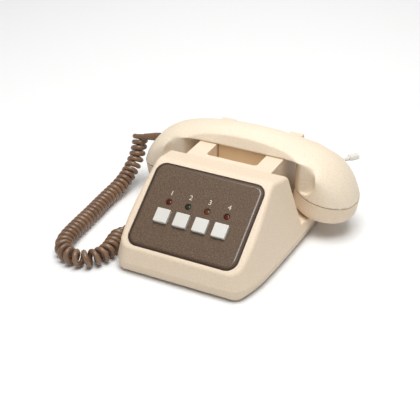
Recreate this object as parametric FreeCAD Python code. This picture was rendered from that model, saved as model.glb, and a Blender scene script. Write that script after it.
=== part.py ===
import FreeCAD, Part
import math
import os
from FreeCAD import Placement, Rotation, Vector

# Desk telephone with four station buttons, millimetres, +Z up.
# The origin lies on the table under the middle of the set; the front faces -Y.

# Casing, seen from above
CASE_DEPTH = 204.0
FRONT_SHOULDER = 7.4
CORNER_R = 16.0
CORNER_FADE = 0.72
CORNER_TURN = 74.0
CORNER_RUN = 17.0
FOOT_CORNER_R = 9.0
FLARE_R = 135.0
FLARE_TURN = 12.0
SIDE_R = 1500.0
REAR_CORNER_R = 22.0

# Casing, seen from the side
FOOT_H = 3.0
TRAY_H = 9.0
UNDERCUT = 2.2
SIDE_DRAFT = 0.216
WALL = 2.5
FLOOR = 2.5
TOP_REAR_Y = 8.0
TOP_REAR_Z = 75.0
TOP_SLOPE = 12.0
WEDGE_REAR_LEAN = 11.0
CREST_R = 14.0
REAR_EDGE_R = 7.0
EDGE_R = 4.0

# Front panel, in its own sloping plane
PANEL_TILT = 36.5
PANEL_Y = -61.2
PANEL_Z = 54.4
PANEL_W = 110.0
PANEL_L = 85.6
PANEL_CORNER_R = 10.5
PANEL_GAP = 0.5
PANEL_THICK = 3.4
PANEL_PROUD = 1.0
PANEL_BEVEL = 3.4
PANEL_BEVEL_DROP = 1.6
PANEL_EDGE_R = 3.0
PANEL_WALL = 6.0
LEDGE = 4.5

# Buttons and lamps on the panel
BUTTONS = 4
BUTTON_PITCH = 19.5
BUTTON = 13.5
BUTTON_R = 0.9
BUTTON_EDGE_R = 0.6
BUTTON_V = -9.7
BUTTON_PROUD = 3.4
BUTTON_SKIRT = 5.0
BUTTON_TRAVEL = 3.0
BUTTON_GAP = 0.35
STEM = 5.0
STEM_L = 10.0
STEM_R = 0.6
STEM_GAP = 0.3
LAMP_V = 5.3
LAMP_R = 2.7
LAMP_DOME_R = 1.3
LAMP_SINK = 0.7
LAMP_GAP = 0.15
LAMP_FLANGE = 1.0
LAMP_CHAMFER = 0.6
LAMP_L = 5.0

# Switch frame and lamp board behind the panel
FRAME_INSET = 8.0
FRAME_LOW = -20.0
FRAME_HIGH = 13.0
FRAME_PLATE = 2.0
FRAME_DEPTH = 15.0
POST_R = 3.0
BOARD_T = 1.6

# Cradle
RAIL_OUT = 44.2
RAIL_IN = 26.5
PRONG_GAP = 1.0
PRONG_IN = 30.0
PRONG_Z = 78.8
PRONG_LEAN = 1.5
RECESS_FRONT = 12.5
RECESS_Z = 58.0
RECESS_R = 4.0

# Hook bar under the handset
HOOK_HALF = 25.5
HOOK_Y = 38.0
HOOK_T = 6.0
HOOK_EDGE_R = 2.0
HOOK_GAP = 0.4
HOOK_LIFT = 6.0
HOOK_FLANGE = 2.5
HOOK_STEM_Z = 38.0
SEAT_GAP = 0.3

# Handset
HANDSET_Y = 57.0
CUP_X = 83.0
CUP_R = 32.0
CUP_TILT = 10.0
SEAM_Z = 40.5
SEAM_GAP = 0.6
HANDLE_HALF = 22.0
NECK_R = 65.0
HANDLE_TAPER = 0.51
HANDSET_TOP = 88.5
CROWN_R = 60.0
ARCH_R = 295.0
END_R = 58.0
END_REACH = 0.5
SCOOP_X = 80.0
WEB_HALF = 24.0
CUP_WALL = 2.8
CUP_HOLLOW = 1.2
LIP_WALL = 1.3
WIRE_R = 1.2
WIRE_DEPTH = 2.9
WIRE_DROP_X = 85.0
CAP_H = 21.5
CAP_TRIM = 0.3
CAP_EDGE_R = 10.0
CAP_FLOOR = 3.2
SPIGOT_H = 0.9
SPIGOT_T = 2.0
SPIGOT_GAP = 0.3
CAP_HOLE_R = 1.3
CAP_HOLE_RINGS = (7.0, 14.0)
CAP_HOLES_PER_RING = 6
CAPSULE_GAP = 0.4
CAPSULE_H = 11.0
CAPSULE_STEP_R = 18.0
CAPSULE_STEP_H = 3.3

# Rest pockets beside the cradle
POCKET_GAP = 1.4
POCKET_CLEAR = 0.8
POCKET_DEPTH = 1.6

# Feet and screws
FOOT_R = 7.0
FOOT_CHAMFER = 0.75
FOOT_PLACES = ((48.0, -62.0), (52.0, 62.0))
BOSS_R = 4.5
BOSS_PLACES = ((50.0, -78.0), (57.0, 84.0))
BOSS_FOOT_Z = 8.0
SCREW_R = 1.4
SCREW_HEAD_R = 3.0
SCREW_HEAD_H = 1.8
SCREW_SLOT = 0.8
SCREW_SLOT_H = 0.9
SCREW_L = 13.0
SCREW_GAP = 0.1

# Main board and what it carries
MAIN_HALF = 46.0
MAIN_FRONT = -34.0
MAIN_REAR = 74.0
MAIN_Z = 13.0
MAIN_POST_R = 3.0
MAIN_POST_INSET = 5.0
SOUNDER_R = 17.0
SOUNDER_H = 11.0
SOUNDER_Y = -12.0
SOUNDER_EDGE_R = 1.4
SOUNDER_HOLE_R = 2.8
SOUNDER_HOLE_H = 3.7
SWITCH_HALF = 11.0
SWITCH_DEPTH = 20.0
TERMINAL_HALF = 16.0
TERMINAL_DEPTH = 11.0
TERMINAL_H = 9.0
TERMINAL_Y = 66.0
TERMINAL_WAYS = 4
TERMINAL_HOLE_R = 2.0
TERMINAL_HOLE_H = 3.0

# Cord bushes
BUSH_R = 4.2
BUSH_TIP_R = 3.0
BUSH_OUT = 9.0
BUSH_IN = 4.0
BUSH_COLLAR = 1.4
BUSH_GAP = 0.15
LINE_BUSH_Z = 18.0
CURL_BUSH_Y = -40.0
CURL_BUSH_Z = 18.0
CURL_BUSH_WAY = (-0.55, -0.8, -0.25)
HANDSET_BUSH_Z = 56.0
HANDSET_BUSH_WAY = (-1.0, -0.07, -0.18)
BOOT_OUT = 15.0

# Curly cord: its places hang from the handset's bush and loop from the casing's bush,
# with heights above the line where the curls lie on the table
CURL_WIRE = 5.2
CURL_R = 5.9
CURL_PITCH = 5.9
CURL_RAMP = 18.0
CURL_GAP = 0.4
CURL_LEAD = 7.0
CURL_FALL = (0.0, -0.3, -0.95)
CURL_DROP = 9.0
CURL_LIE_GAP = 0.4
CURL_HANG = ((-21.9, -4.5, 23.0), (-22.9, -12.0, 14.5), (-23.2, -23.0, 7.5), (-23.8, -38.5, 2.6),
             (-25.0, -55.0, 0.4), (-24.4, -73.0, 0.0))
CURL_LOOP = ((-56.4, 5.0, 0.0), (-55.6, -14.0, 0.0), (-54.6, -33.0, 0.0), (-52.8, -51.0, 0.0),
             (-45.8, -65.5, 0.0), (-32.6, -72.5, 0.0), (-18.8, -71.0, 0.0), (-9.8, -62.0, 0.0),
             (-6.0, -50.0, 0.2), (-7.8, -37.0, 1.0), (-9.4, -24.0, 2.5))

# Line cord, its coil and its plug
LINE_D = 4.0
COIL_X = -16.0
COIL_Y = 150.0
COIL_IN_R = 15.0
COIL_STEP = 4.6
COIL_TURNS = 3
COIL_LAYERS = 4
COIL_EXTRA = 0.25
TIE_T = 0.8
TIE_W = 7.0
TIE_GAP = 0.3
TIE_TURN = -20.0
LINE_LEAD = 14.0
TAIL_LEAD = 18.0
TAIL_PLACES = ((36.0, 29.0, 6.0), (52.0, 30.5, 0.0), (63.0, 37.0, 0.0), (73.0, 49.0, 0.0))
PLUG_L = 11.0
PLUG_W = 7.0
PLUG_H = 5.0
PLUG_EDGE_R = 1.0

# How the winding and bending curves are worked out
BEND_SHARE = 0.45
ROUTE_STEPS = 1200
TURN_STATIONS = 2
COIL_STATIONS = 4
NEAR_RUN = 4
TOUCH = 0.01
OVERCUT = 1.0

# Worked-out places
GIRDLE_Z = FOOT_H + TRAY_H
FRONT_HALF = PANEL_W / 2 + FRONT_SHOULDER
FRAME_HALF = PANEL_W / 2 - FRAME_INSET
FRONT_Y = -CASE_DEPTH / 2
TOP_Z = 95.0
REACH = 130.0
HANDLE_Z = TOP_REAR_Z + SEAT_GAP
TILT = math.radians(PANEL_TILT)
LEAN = math.radians(CUP_TILT)
MAIN_TOP = MAIN_Z + BOARD_T


def unit(angle):
    """Direction at an angle in degrees from +X in a plane."""
    return Vector(math.cos(math.radians(angle)), math.sin(math.radians(angle)), 0)


def arc_chain(start, heading, steps):
    """Edges of left-turning tangent arcs, each step a radius and a turn in degrees."""
    edges = []
    for radius, turn in steps:
        centre = start + unit(heading + 90) * radius
        middle = centre + unit(heading + turn / 2 - 90) * radius
        end = centre + unit(heading + turn - 90) * radius
        edges.append(Part.Arc(start, middle, end).toShape())
        start = end
        heading += turn
    return edges, start


def rear_turn():
    """Turn of the long side arc that brings the outline to the rear edge."""
    done = CORNER_TURN + FLARE_TURN
    c1 = math.cos(math.radians(CORNER_TURN))
    c2 = math.cos(math.radians(done))
    left = CASE_DEPTH - CORNER_RUN * math.sin(math.radians(CORNER_TURN)) - FLARE_R * (c1 - c2)
    c3 = (SIDE_R * c2 + REAR_CORNER_R - left) / (SIDE_R - REAR_CORNER_R)
    return math.degrees(math.acos(c3)) - done


def corner_radius(inset):
    """Radius of the front corners, tighter higher up where the walls lean in."""
    return CORNER_R - CORNER_FADE * inset


def plan_wire(inset, z, radius):
    """Outline of the casing from above, drawn in by an inset, with rounded front corners."""
    side_turn = rear_turn()
    last_turn = 180 - CORNER_TURN - FLARE_TURN - side_turn
    reach = (inset + radius) * math.tan(math.radians(CORNER_TURN / 2))
    start = Vector(FRONT_HALF - reach, FRONT_Y + inset, z)
    corner, bend = arc_chain(start, 0, [(radius, CORNER_TURN)])
    joint = bend + unit(CORNER_TURN) * (CORNER_RUN - reach)
    steps = [(FLARE_R - inset, FLARE_TURN), (SIDE_R - inset, side_turn), (REAR_CORNER_R - inset, last_turn)]
    sides, end = arc_chain(joint, CORNER_TURN, steps)
    right = corner + [Part.makeLine(bend, joint)] + sides
    front = Part.makeLine(Vector(-start.x, start.y, z), start)
    rear = Part.makeLine(end, Vector(-end.x, end.y, z))
    left = [edge.mirror(Vector(0, 0, 0), Vector(1, 0, 0)) for edge in reversed(right)]
    return Part.Wire([front] + right + [rear] + left)


def plan_solid(inset, low, high):
    """The casing's outline between two heights, narrowing upwards."""
    insets = [(inset + SIDE_DRAFT * (z - GIRDLE_Z), z) for z in (low, high)]
    wires = [plan_wire(drawn, z, corner_radius(drawn)) for drawn, z in insets]
    return Part.makeLoft(wires, True, True)


def rounded_wire(points, radii):
    """Closed outline through points, with a tangent arc at each corner that has a radius."""
    edges = []
    joints = []
    count = len(points)
    for i in range(count):
        here = points[i]
        back = (points[i - 1] - here).normalize()
        ahead = (points[(i + 1) % count] - here).normalize()
        if radii[i] == 0:
            joints.append((here, here))
            continue
        half = back.getAngle(ahead) / 2
        reach = radii[i] / math.tan(half)
        middle = here + (back + ahead).normalize() * (radii[i] / math.sin(half) - radii[i])
        first = here + back * reach
        second = here + ahead * reach
        edges.append((i, Part.Arc(first, middle, second).toShape()))
        joints.append((first, second))
    ordered = []
    arcs = dict(edges)
    for i in range(count):
        if i in arcs:
            ordered.append(arcs[i])
        ordered.append(Part.makeLine(joints[i][1], joints[(i + 1) % count][0]))
    return Part.Wire(ordered)


def prism(points, radii, sweep):
    """A flat outline carried along a vector."""
    return Part.Face(rounded_wire(points, radii)).extrude(sweep)


def box(x0, x1, y0, y1, z0, z1):
    """A box between two corners."""
    return Part.makeBox(x1 - x0, y1 - y0, z1 - z0, Vector(x0, y0, z0))


def rounded_box(width, length, radius, z0, z1):
    """An upright block about the origin with rounded upright edges."""
    w, l = width / 2, length / 2
    points = [Vector(-w, -l, z0), Vector(w, -l, z0), Vector(w, l, z0), Vector(-w, l, z0)]
    return prism(points, [radius] * 4, Vector(0, 0, z1 - z0))


def rod(radius, start, end):
    """A round rod between two points."""
    axis = end - start
    return Part.makeCylinder(radius, axis.Length, start, axis)


def meet(p, along_p, q, along_q):
    """Point where two lines in the YZ plane cross."""
    cross = along_p.y * along_q.z - along_p.z * along_q.y
    gap = q - p
    return p + along_p * ((gap.y * along_q.z - gap.z * along_q.y) / cross)


def panel_place(shape):
    """Carry a shape from the panel's own plane to its place on the slope."""
    turn = Rotation(Vector(1, 0, 0), PANEL_TILT)
    return shape.transformed(Placement(Vector(0, PANEL_Y, PANEL_Z), turn).toMatrix(), True)


def cup_place(shape, side):
    """Carry a shape from a cup's own axis, seam at zero, to the cup on one side."""
    turn = Rotation(Vector(0, 1, 0), side * CUP_TILT)
    place = Placement(Vector(side * CUP_X, HANDSET_Y, SEAM_Z), turn)
    return shape.transformed(place.toMatrix(), True)


def wedge_profile(inset, panel_inset, z0):
    """Side outline of the casing's high front part, drawn in by an inset."""
    along = Vector(0, math.cos(TILT), math.sin(TILT))
    into_panel = Vector(0, math.sin(TILT), -math.cos(TILT))
    on_panel = Vector(-REACH, PANEL_Y, PANEL_Z) + into_panel * panel_inset
    slope = math.radians(TOP_SLOPE)
    top_along = Vector(0, math.cos(slope), -math.sin(slope))
    edge = Vector(-REACH, TOP_REAR_Y, TOP_REAR_Z)
    on_top = edge - Vector(0, math.sin(slope), math.cos(slope)) * inset
    lean = math.radians(WEDGE_REAR_LEAN)
    rear_along = Vector(0, math.sin(lean), -math.cos(lean))
    on_rear = edge - Vector(0, math.cos(lean), math.sin(lean)) * inset
    crest = meet(on_panel, along, on_top, top_along)
    corner = meet(on_top, top_along, on_rear, rear_along)
    floor = Vector(-REACH, 0, z0)
    level = Vector(0, 1, 0)
    heel = meet(on_rear, rear_along, floor, level)
    toe = meet(on_panel, along, floor, level)
    return [toe, heel, corner, crest]


def wedge_slab(inset, panel_inset, z0):
    """The high front part's side outline carried right across."""
    points = wedge_profile(inset, panel_inset, z0)
    radii = [0, 0, REAR_EDGE_R - inset, CREST_R - inset]
    return prism(points, radii, Vector(2 * REACH, 0, 0))


def is_rim(edge):
    """True for an edge of the wedge's rim: round the panel slope and over the shoulders."""
    middle = edge.valueAt((edge.FirstParameter + edge.LastParameter) / 2)
    if min(v.Z for v in edge.Vertexes) < GIRDLE_Z + OVERCUT or middle.y > TOP_REAR_Y:
        return False
    lean = math.radians(WEDGE_REAR_LEAN)
    to_rear = middle - Vector(0, TOP_REAR_Y, TOP_REAR_Z)
    if abs(to_rear.y * math.cos(lean) + to_rear.z * math.sin(lean)) < TOUCH:
        return False
    if abs(middle.x) < RAIL_OUT + TOUCH and middle.y > FRONT_Y / 2:
        return False
    across = abs(edge.tangentAt((edge.FirstParameter + edge.LastParameter) / 2).x) > 0.999
    return not across or middle.y < FRONT_Y / 2


def rim_waste():
    """What rounding takes off the wedge's rim, above the low rear part."""
    sharp = plan_solid(0, GIRDLE_Z, TOP_Z).common(wedge_slab(0, 0, GIRDLE_Z))
    soft = sharp.makeFillet(EDGE_R, [edge for edge in sharp.Edges if is_rim(edge)])
    shaving = min(sharp.cut(soft).Solids, key=lambda solid: solid.Volume)
    return shaving.cut(deck_slab(-POCKET_DEPTH, 0))


def pocket_floor(extra):
    """Height of the rest pocket's floor plane on the centre line, lowered by extra."""
    drop = (CAP_H + POCKET_CLEAR + extra) / math.cos(LEAN)
    return SEAM_Z + CUP_X * math.tan(LEAN) - drop


def deck_slab(drop, z0):
    """The low rear part's outline, sloping down to each side, carried to the rear."""
    top = pocket_floor(drop)
    side = (top - z0) / math.tan(LEAN)
    points = [Vector(-side, 0, z0), Vector(side, 0, z0), Vector(0, 0, top)]
    return prism(points, [0] * len(points), Vector(0, REACH, 0))


def rail_rear():
    """Front foot of the rear prongs, just behind the handle."""
    return HANDSET_Y + HANDLE_HALF + PRONG_GAP


def column_block(inset, z0):
    """The block between the pockets that carries the handset, with prongs at the rear."""
    high = TOP_REAR_Z - inset
    outline = [(0, z0), (REACH, z0), (REACH, high), (0, high)]
    if inset == 0:
        prong = [(REACH, PRONG_Z), (rail_rear() + PRONG_LEAN, PRONG_Z), (rail_rear(), high)]
        outline = outline[:2] + prong + outline[3:]
    half = RAIL_OUT - inset
    points = [Vector(-half, y, z) for y, z in outline]
    return prism(points, [0] * len(points), Vector(2 * half, 0, 0))


def casing_form(inset, panel_inset, deck_drop, z0):
    """The casing's whole outer or inner form."""
    slabs = wedge_slab(inset, panel_inset, z0).fuse([deck_slab(deck_drop, z0), column_block(inset, z0)])
    return plan_solid(inset, z0, TOP_Z).common(slabs.removeSplitter())


def cradle_cuts():
    """Recess between the rails, the gap between the rear prongs and the hook bar's slot."""
    depth = rail_rear() - PRONG_GAP - RECESS_FRONT
    recess = rounded_box(2 * RAIL_IN, depth, RECESS_R, RECESS_Z, TOP_Z)
    recess.translate(Vector(0, RECESS_FRONT + depth / 2, 0))
    gap = box(-PRONG_IN, PRONG_IN, rail_rear() - PRONG_GAP, REACH, TOP_REAR_Z - PRONG_GAP, TOP_Z)
    slot = box(-HOOK_HALF - HOOK_GAP, HOOK_HALF + HOOK_GAP, HOOK_Y - HOOK_GAP,
               HOOK_Y + HOOK_T + HOOK_GAP, RECESS_Z - REACH, TOP_Z)
    trough = box(-RAIL_IN - WALL, RAIL_IN + WALL, RECESS_FRONT - WALL, RECESS_FRONT + depth + WALL,
                 RECESS_Z - WALL, TOP_REAR_Z)
    return recess, gap, slot, trough


def panel_outline(grow, z0, z1):
    """Rounded rectangle of the panel, grown all round, between two heights in its own plane."""
    radius = PANEL_CORNER_R + grow
    return rounded_box(PANEL_W + 2 * grow, PANEL_L + 2 * grow, radius, z0, z1)


def mirrored(places):
    """Each place and its mirror image across the middle plane."""
    return [(side * x, y) for x, y in places for side in (1, -1)]


def upper_casing():
    """The moulded casing: wedge with the panel seat, cradle and rest pockets, open below."""
    outer = casing_form(0, 0, -POCKET_DEPTH, GIRDLE_Z).cut(rim_waste())
    inner = casing_form(WALL, PANEL_WALL, WALL, GIRDLE_Z - OVERCUT)
    recess, gap, slot, trough = cradle_cuts()
    shell = outer.cut(inner.cut(trough)).cut([recess, gap, slot])
    for side in (1, -1):
        pocket = Part.makeCylinder(CUP_R + POCKET_GAP, REACH, Vector(0, 0, -CAP_H - POCKET_CLEAR))
        shell = shell.cut(cup_place(pocket, side))
    seat = panel_place(panel_outline(PANEL_GAP, PANEL_PROUD - PANEL_THICK, REACH))
    window = panel_place(panel_outline(-LEDGE, -REACH / 4, 0))
    shell = shell.cut([seat, window])
    ceiling = outer.common(inner)
    for x, y in mirrored(BOSS_PLACES):
        boss = rod(BOSS_R, Vector(x, y, BOSS_FOOT_Z), Vector(x, y, TOP_Z))
        foot = boss.common(box(-REACH, REACH, FRONT_Y, -FRONT_Y, 0, GIRDLE_Z))
        shell = shell.fuse([foot, boss.common(ceiling)])
        screw_end = Vector(x, y, FOOT_H + SCREW_L + OVERCUT)
        shell = shell.cut(rod(SCREW_R + SCREW_GAP, Vector(x, y, 0), screw_end))
    for bush in bush_places():
        shell = shell.cut(bush_hole(*bush))
    return shell.removeSplitter()


def base_tray():
    """The shallow tray below the casing, with its posts for the main board."""
    low = plan_wire(UNDERCUT, FOOT_H, FOOT_CORNER_R)
    outer = Part.makeLoft([low, plan_wire(0, GIRDLE_Z, CORNER_R)], True, True)
    floor_z = FOOT_H + FLOOR
    insets = [(WALL + UNDERCUT * (GIRDLE_Z - z) / TRAY_H, z) for z in (floor_z, GIRDLE_Z + OVERCUT)]
    wires = [plan_wire(inset, z, corner_radius(inset)) for inset, z in insets]
    tray = outer.cut(Part.makeLoft(wires, True, True))
    for x, y in mirrored(main_posts()):
        tray = tray.fuse(rod(MAIN_POST_R, Vector(x, y, FOOT_H + TOUCH), Vector(x, y, MAIN_Z)))
    for x, y in mirrored(BOSS_PLACES):
        tray = tray.fuse(rod(BOSS_R, Vector(x, y, FOOT_H + TOUCH), Vector(x, y, BOSS_FOOT_Z)))
        tray = tray.cut(rod(SCREW_R + SCREW_GAP, Vector(x, y, 0), Vector(x, y, TOP_Z)))
        head = Vector(x, y, FOOT_H + SCREW_HEAD_H + SCREW_GAP)
        tray = tray.cut(rod(SCREW_HEAD_R + SCREW_GAP, Vector(x, y, 0), head))
    return tray


def main_posts():
    """Right-hand places of the posts under the main board."""
    x = MAIN_HALF - MAIN_POST_INSET
    return ((x, MAIN_FRONT + MAIN_POST_INSET), (x, MAIN_REAR - MAIN_POST_INSET))


def rubber_feet():
    """Four round feet under the tray."""
    feet = []
    for x, y in mirrored(FOOT_PLACES):
        foot = rod(FOOT_R, Vector(x, y, 0), Vector(x, y, FOOT_H))
        feet.append(foot.makeChamfer(FOOT_CHAMFER, [foot.Edges[2]]))
    return Part.makeCompound(feet)


def base_screws():
    """Four screws up through the tray into the casing's bosses."""
    screws = []
    for x, y in mirrored(BOSS_PLACES):
        foot = Vector(x, y, FOOT_H)
        head_top = Vector(x, y, FOOT_H + SCREW_HEAD_H)
        head = rod(SCREW_HEAD_R, foot, head_top)
        half = SCREW_SLOT / 2
        slot = box(x - SCREW_HEAD_R, x + SCREW_HEAD_R, y - half, y + half, FOOT_H, FOOT_H + SCREW_SLOT_H)
        shank = rod(SCREW_R, head_top, Vector(x, y, FOOT_H + SCREW_L))
        screws.append(head.fuse(shank).cut(slot))
    return Part.makeCompound(screws)


def station_u(index):
    """Place of a button and its lamp across the panel."""
    return (index - (BUTTONS - 1) / 2) * BUTTON_PITCH


def front_panel():
    """The brown cover plate with its soft-edged bevel, button holes and lamp holes."""
    rim = PANEL_PROUD - PANEL_BEVEL_DROP
    plate = panel_outline(0, PANEL_PROUD - PANEL_THICK, rim)
    wires = [panel_rim(0, rim), panel_rim(-PANEL_BEVEL, PANEL_PROUD)]
    plate = plate.fuse(Part.makeLoft(wires, True, True)).removeSplitter()
    top = [edge for edge in plate.Edges if min(v.Z for v in edge.Vertexes) > PANEL_PROUD - TOUCH]
    plate = plate.makeFillet(PANEL_EDGE_R, top)
    wide = BUTTON + 2 * BUTTON_GAP
    round_hole = LAMP_R + LAMP_GAP
    for index in range(BUTTONS):
        u = station_u(index)
        hole = rounded_box(wide, wide, BUTTON_R + BUTTON_GAP, -PANEL_THICK, PANEL_THICK)
        hole.translate(Vector(u, BUTTON_V, 0))
        lamp = rod(round_hole, Vector(u, LAMP_V, -PANEL_THICK), Vector(u, LAMP_V, PANEL_THICK))
        foot = Vector(u, LAMP_V, PANEL_PROUD - LAMP_CHAMFER)
        sink = Part.makeCone(round_hole, round_hole + LAMP_CHAMFER, LAMP_CHAMFER, foot)
        plate = plate.cut([hole, lamp, sink])
    return panel_place(plate)


def panel_rim(grow, z):
    """The panel's outline, grown all round, as a wire at one height in its own plane."""
    faces = panel_outline(grow, z, z + OVERCUT).Faces
    return min(faces, key=lambda face: face.CenterOfMass.z).OuterWire


def button_cap(index):
    """A square push-button with a stem into the switch frame."""
    low = -BUTTON_SKIRT + PANEL_PROUD
    high = PANEL_PROUD + BUTTON_PROUD
    cap = rounded_box(BUTTON, BUTTON, BUTTON_R, low, high)
    top = [edge for edge in cap.Edges if min(v.Z for v in edge.Vertexes) > high - TOUCH]
    cap = cap.makeFillet(BUTTON_EDGE_R, top)
    cap = cap.fuse(rounded_box(STEM, STEM, STEM_R, low - STEM_L, low + OVERCUT))
    cap.translate(Vector(station_u(index), BUTTON_V, 0))
    return panel_place(cap.removeSplitter())


def lamp_lens(index):
    """A signal lamp's lens with a low dome and a flange behind the panel."""
    u = station_u(index)
    under = PANEL_PROUD - PANEL_THICK
    top = Vector(u, LAMP_V, PANEL_PROUD - LAMP_SINK)
    seat = Vector(u, LAMP_V, under - LAMP_FLANGE)
    lens = rod(LAMP_R, seat, top)
    lens = lens.makeFillet(LAMP_DOME_R, [edge for edge in lens.Edges if edge.CenterOfMass.z > top.z - TOUCH])
    flange = rod(LAMP_R + LAMP_FLANGE, seat, Vector(u, LAMP_V, under))
    body = rod(LAMP_R, Vector(u, LAMP_V, lamp_board_top()), seat)
    return panel_place(lens.fuse([flange, body]).removeSplitter())


def lamp_board_top():
    """Depth of the lamp board's front face behind the panel plane."""
    return PANEL_PROUD - PANEL_THICK - LAMP_L


def switch_frame():
    """Moulded frame on four posts: button guides above, lamp board ribs below."""
    under = PANEL_PROUD - PANEL_THICK
    back = under - FRAME_DEPTH
    plate_top = back + FRAME_PLATE
    guide_top = PANEL_PROUD - BUTTON_SKIRT - BUTTON_TRAVEL - STEM_GAP
    half = BUTTON_PITCH * BUTTONS / 2
    frame = box(-FRAME_HALF, FRAME_HALF, FRAME_LOW, FRAME_HIGH, back, plate_top)
    guide_high = BUTTON_V + BUTTON / 2
    frame = frame.fuse(box(-half, half, FRAME_LOW, guide_high, plate_top, guide_top))
    rib_top = lamp_board_top() - BOARD_T
    for low in (guide_high, FRAME_HIGH - FRAME_PLATE):
        frame = frame.fuse(box(-half, half, low, low + FRAME_PLATE, plate_top, rib_top))
    for u in (FRAME_HALF - POST_R, POST_R - FRAME_HALF):
        for v in (FRAME_LOW + POST_R, FRAME_HIGH - POST_R):
            frame = frame.fuse(rod(POST_R, Vector(u, v, back), Vector(u, v, under)))
    for index in range(BUTTONS):
        wide = STEM + 2 * STEM_GAP
        guide = rounded_box(wide, wide, STEM_R + STEM_GAP, -REACH, 0)
        guide.translate(Vector(station_u(index), BUTTON_V, 0))
        frame = frame.cut(guide)
    return panel_place(frame.removeSplitter())


def lamp_board():
    """Circuit board that carries the lamps, on the frame's two ribs."""
    half = BUTTON_PITCH * BUTTONS / 2
    top = lamp_board_top()
    low = BUTTON_V + BUTTON / 2
    return panel_place(box(-half, half, low + STEM_GAP, FRAME_HIGH, top - BOARD_T, top))


def hook_bar():
    """The bar that the handset presses down, with a flange under the recess floor."""
    top = HANDLE_Z - SEAT_GAP
    rear = HOOK_Y + HOOK_T
    bar = box(-HOOK_HALF, HOOK_HALF, HOOK_Y, rear, RECESS_Z - WALL, top)
    high = [edge for edge in bar.Edges if min(v.Z for v in edge.Vertexes) > top - TOUCH]
    bar = bar.makeFillet(HOOK_EDGE_R, [edge for edge in high if edge.Length > HOOK_T + TOUCH])
    flange_top = RECESS_Z - WALL - HOOK_LIFT - SEAT_GAP
    flange_low = flange_top - HOOK_FLANGE
    neck = box(-HOOK_HALF, HOOK_HALF, HOOK_Y, rear, flange_low, RECESS_Z - WALL)
    flange = box(-HOOK_HALF, HOOK_HALF, HOOK_Y - HOOK_FLANGE, rear + HOOK_FLANGE, flange_low, flange_top)
    stem = box(-HOOK_T, HOOK_T, HOOK_Y, rear, HOOK_STEM_Z, flange_top)
    return bar.fuse([neck, flange, stem]).removeSplitter()


def hook_switch():
    """Spring-contact block on the main board, under the hook bar's stem."""
    middle = HOOK_Y + HOOK_T / 2
    top = HOOK_STEM_Z - SEAT_GAP
    front = middle - SWITCH_DEPTH / 2
    block = box(-SWITCH_HALF, SWITCH_HALF, front, front + SWITCH_DEPTH, MAIN_TOP, top - HOOK_T)
    button = box(-HOOK_T / 2, HOOK_T / 2, middle - HOOK_T / 2, middle + HOOK_T / 2, top - HOOK_T, top)
    return block.fuse(button).removeSplitter()


def main_board():
    """The telephone's circuit board on the tray's posts."""
    return box(-MAIN_HALF, MAIN_HALF, MAIN_FRONT, MAIN_REAR, MAIN_Z, MAIN_TOP)


def call_sounder():
    """Round call sounder with a hole in its lid."""
    foot = Vector(0, SOUNDER_Y, MAIN_TOP)
    top = foot + Vector(0, 0, SOUNDER_H)
    body = rod(SOUNDER_R, foot, top)
    body = body.makeFillet(SOUNDER_EDGE_R, [e for e in body.Edges if e.CenterOfMass.z > top.z - TOUCH])
    return body.cut(rod(SOUNDER_HOLE_R, top - Vector(0, 0, SOUNDER_HOLE_H), top))


def terminal_block():
    """Screw terminals for the two cords."""
    block = box(-TERMINAL_HALF, TERMINAL_HALF, TERMINAL_Y - TERMINAL_DEPTH / 2,
                TERMINAL_Y + TERMINAL_DEPTH / 2, MAIN_TOP, MAIN_TOP + TERMINAL_H)
    pitch = 2 * TERMINAL_HALF / TERMINAL_WAYS
    for way in range(TERMINAL_WAYS):
        x = -TERMINAL_HALF + pitch * (way + 0.5)
        top = Vector(x, TERMINAL_Y, MAIN_TOP + TERMINAL_H)
        block = block.cut(rod(TERMINAL_HOLE_R, top - Vector(0, 0, TERMINAL_HOLE_H), top))
    return block


def casing_side(z):
    """Half-width of the casing's side wall at the curly cord's bush."""
    probe = rod(TOUCH, Vector(0, CURL_BUSH_Y, z), Vector(REACH, CURL_BUSH_Y, z))
    return plan_solid(0, GIRDLE_Z, TOP_Z).common(probe).BoundBox.XMax


def line_bush_y():
    """Place of the casing's rear face at the line cord's bush."""
    return -FRONT_Y - SIDE_DRAFT * (LINE_BUSH_Z - GIRDLE_Z)


def bush_places():
    """Root on the casing's wall and way out of the two body bushes."""
    line = (Vector(coil_place(0).x, line_bush_y(), LINE_BUSH_Z), Vector(0, 1, 0))
    curl_root = Vector(-casing_side(CURL_BUSH_Z), CURL_BUSH_Y, CURL_BUSH_Z)
    return (line, (curl_root, Vector(*CURL_BUSH_WAY).normalize()))


def bush_hole(root, out):
    """Hole in a wall for a cord bush."""
    return rod(BUSH_R + BUSH_GAP, root - out * (2 * BUSH_IN), root + out * (2 * BUSH_IN))


def cord_bush(root, out, length):
    """Strain relief: a sleeve through the wall that tapers towards the cord."""
    collar_end = root + out * BUSH_COLLAR
    sleeve = rod(BUSH_R, root - out * BUSH_IN, collar_end)
    tip = Part.makeCone(BUSH_R, BUSH_TIP_R, length - BUSH_COLLAR, collar_end, out)
    return sleeve.fuse(tip).removeSplitter()


def handset_end():
    """Where the long arch passes into the end arc, and the end arc's centre."""
    arch_centre = Vector(0, HANDSET_Y, HANDSET_TOP - ARCH_R)
    x = (CUP_X + CUP_R + END_REACH - END_R) / (1 - END_R / ARCH_R)
    join = Vector(x, HANDSET_Y, arch_centre.z + math.sqrt(ARCH_R ** 2 - x ** 2))
    return join, join + (arch_centre - join) * (END_R / ARCH_R)


def handset_root():
    """Place and way out of the cord bush on the handset's left end."""
    centre = handset_end()[1]
    reach = centre.x + math.sqrt(END_R ** 2 - (HANDSET_BUSH_Z - centre.z) ** 2)
    return Vector(-reach, HANDSET_Y, HANDSET_BUSH_Z), Vector(*HANDSET_BUSH_WAY).normalize()


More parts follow.
